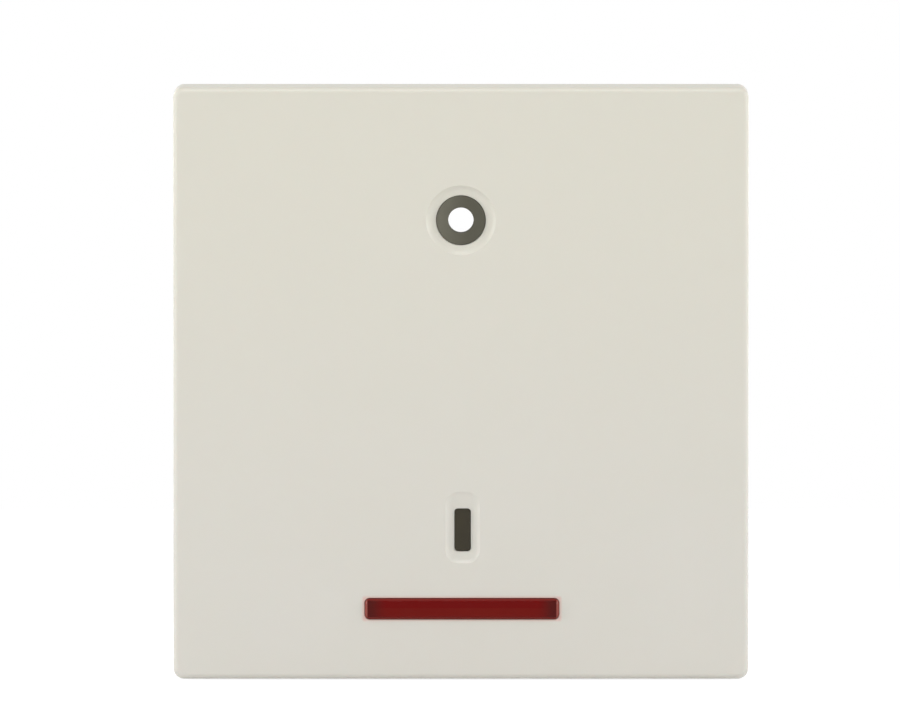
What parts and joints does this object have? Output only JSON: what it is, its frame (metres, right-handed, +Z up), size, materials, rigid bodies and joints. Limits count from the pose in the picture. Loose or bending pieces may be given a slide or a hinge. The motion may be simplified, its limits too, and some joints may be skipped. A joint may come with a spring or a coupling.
{
  "type": "double-pole rocker light switch",
  "caption": "Flush wall switch with one large rocker plate, off ring, on bar and red indicator window, on a support ring with claws and a rear socket.",
  "frame": {"origin": "middle of the support ring's back face, on the wall plane", "axes": "+Z up, the rocker faces -Y, the socket goes into the wall along +Y, +X to the right"},
  "size_m": [0.068, 0.0447, 0.0704],
  "materials": {
    "ivory_plate": "satin moulded ivory urea plastic",
    "symbol_grey": "moulded dark grey inlay",
    "window_red": "clear red polycarbonate",
    "inner_white": "moulded white polyamide",
    "socket_grey": "moulded light grey thermoset",
    "cover_grey": "moulded grey polyamide",
    "lever_orange": "moulded orange polyamide",
    "zinc_steel": "zinc-plated pressed steel",
    "screw_steel": "zinc-plated steel screws",
    "spring_steel": "bare spring steel",
    "brass": "pressed brass",
    "silver_tip": "riveted silver alloy",
    "lamp_glass": "clear lamp glass",
    "lamp_metal": "nickel electrodes",
    "resistor_beige": "lacquered resistor body"
  },
  "bodies": {
    "housing": {"bearing_frame": "inner_white", "clamp_spring_lower_left": "spring_steel", "clamp_spring_lower_right": "spring_steel", "clamp_spring_upper_left": "spring_steel", "clamp_spring_upper_right": "spring_steel", "fixed_tip_left": "silver_tip", "fixed_tip_right": "silver_tip", "frame_screws": "screw_steel", "lamp_bulb": "lamp_glass", "lamp_contact_pins": "brass", "lamp_electrodes": "lamp_metal", "lamp_holder": "inner_white", "lamp_resistor": "resistor_beige", "line_terminal_left": "brass", "line_terminal_right": "brass", "load_terminal_left": "brass", "load_terminal_right": "brass", "rear_cover": "cover_grey", "socket_base": "socket_grey", "support_ring": "zinc_steel"},
    "rocker": {"rocker_plate": "ivory_plate", "off_symbol_ring": "symbol_grey", "on_symbol_bar": "symbol_grey", "indicator_lens": "window_red", "rocker_cradle": "inner_white", "plunger_spring_left": "spring_steel", "plunger_spring_right": "spring_steel"},
    "plunger_left": {"plunger_left": "inner_white"},
    "contact_left": {"contact_rocker_left": "brass", "moving_tip_left": "silver_tip"},
    "claw_screw_left": {"claw_screw_left": "screw_steel"},
    "claw_nut_left": {"claw_nut_left": "zinc_steel"},
    "claw_left": {"claw_left": "zinc_steel"},
    "release_lever_left": {"release_lever_left": "lever_orange"},
    "plunger_right": {"plunger_right": "inner_white"},
    "contact_right": {"contact_rocker_right": "brass", "moving_tip_right": "silver_tip"},
    "claw_screw_right": {"claw_screw_right": "screw_steel"},
    "claw_nut_right": {"claw_nut_right": "zinc_steel"},
    "claw_right": {"claw_right": "zinc_steel"},
    "release_lever_right": {"release_lever_right": "lever_orange"}
  },
  "joints": [
    {"name": "rocker_tilt", "type": "hinge", "parent": "housing", "child": "rocker", "pos_m": [0, -0.0056, 0], "axis": [1, 0, 0], "range_deg": [-7, 0]},
    {"name": "plunger_slide_left", "type": "slide", "parent": "rocker", "child": "plunger_left", "axis": [0, -0.9981, -0.061], "range_m": [0, 0.0005], "stiffness_N_per_m": 300, "springref_m": -0.003, "deforming": ["plunger_spring_left"]},
    {"name": "contact_tilt_left", "type": "hinge", "parent": "housing", "child": "contact_left", "pos_m": [-0.0085, 0.016, 0], "axis": [1, 0, 0], "range_deg": [0, 21]},
    {"name": "claw_screw_turn_left", "type": "hinge", "parent": "housing", "child": "claw_screw_left", "pos_m": [-0.0246, 0, 0], "axis": [0, 1, 0], "range_deg": [0, 3600]},
    {"name": "claw_nut_slide_left", "type": "slide", "parent": "housing", "child": "claw_nut_left", "axis": [0, -1, 0], "range_m": [0, 0.005]},
    {"name": "claw_swing_left", "type": "hinge", "parent": "claw_nut_left", "child": "claw_left", "pos_m": [-0.027, 0.0188, 0], "axis": [0, 0, -1], "range_deg": [0, 20]},
    {"name": "release_lever_slide_left", "type": "slide", "parent": "housing", "child": "release_lever_left", "axis": [0, -1, 0], "range_m": [0, 0.0013], "stiffness_N_per_m": 800, "springref_m": -0.002, "deforming": ["clamp_spring_upper_left", "clamp_spring_lower_left"]},
    {"name": "plunger_slide_right", "type": "slide", "parent": "rocker", "child": "plunger_right", "axis": [0, -0.9981, -0.061], "range_m": [0, 0.0005], "stiffness_N_per_m": 300, "springref_m": -0.003, "deforming": ["plunger_spring_right"]},
    {"name": "contact_tilt_right", "type": "hinge", "parent": "housing", "child": "contact_right", "pos_m": [0.0085, 0.016, 0], "axis": [1, 0, 0], "range_deg": [0, 21]},
    {"name": "claw_screw_turn_right", "type": "hinge", "parent": "housing", "child": "claw_screw_right", "pos_m": [0.0246, 0, 0], "axis": [0, 1, 0], "range_deg": [0, 3600]},
    {"name": "claw_nut_slide_right", "type": "slide", "parent": "housing", "child": "claw_nut_right", "axis": [0, -1, 0], "range_m": [0, 0.005]},
    {"name": "claw_swing_right", "type": "hinge", "parent": "claw_nut_right", "child": "claw_right", "pos_m": [0.027, 0.0188, 0], "axis": [0, 0, 1], "range_deg": [0, 20]},
    {"name": "release_lever_slide_right", "type": "slide", "parent": "housing", "child": "release_lever_right", "axis": [0, -1, 0], "range_m": [0, 0.0013], "stiffness_N_per_m": 800, "springref_m": -0.002, "deforming": ["clamp_spring_upper_right", "clamp_spring_lower_right"]}
  ],
  "couplings": [
    {"joint": "contact_tilt_left", "follows": "rocker_tilt", "ratio": -3},
    {"joint": "claw_screw_turn_left", "follows": "claw_nut_slide_left", "rad_per_m": 12566},
    {"joint": "claw_swing_left", "follows": "claw_nut_slide_left", "rad_per_m": 69.813},
    {"joint": "contact_tilt_right", "follows": "rocker_tilt", "ratio": -3},
    {"joint": "claw_screw_turn_right", "follows": "claw_nut_slide_right", "rad_per_m": 12566},
    {"joint": "claw_swing_right", "follows": "claw_nut_slide_right", "rad_per_m": 69.813}
  ]
}
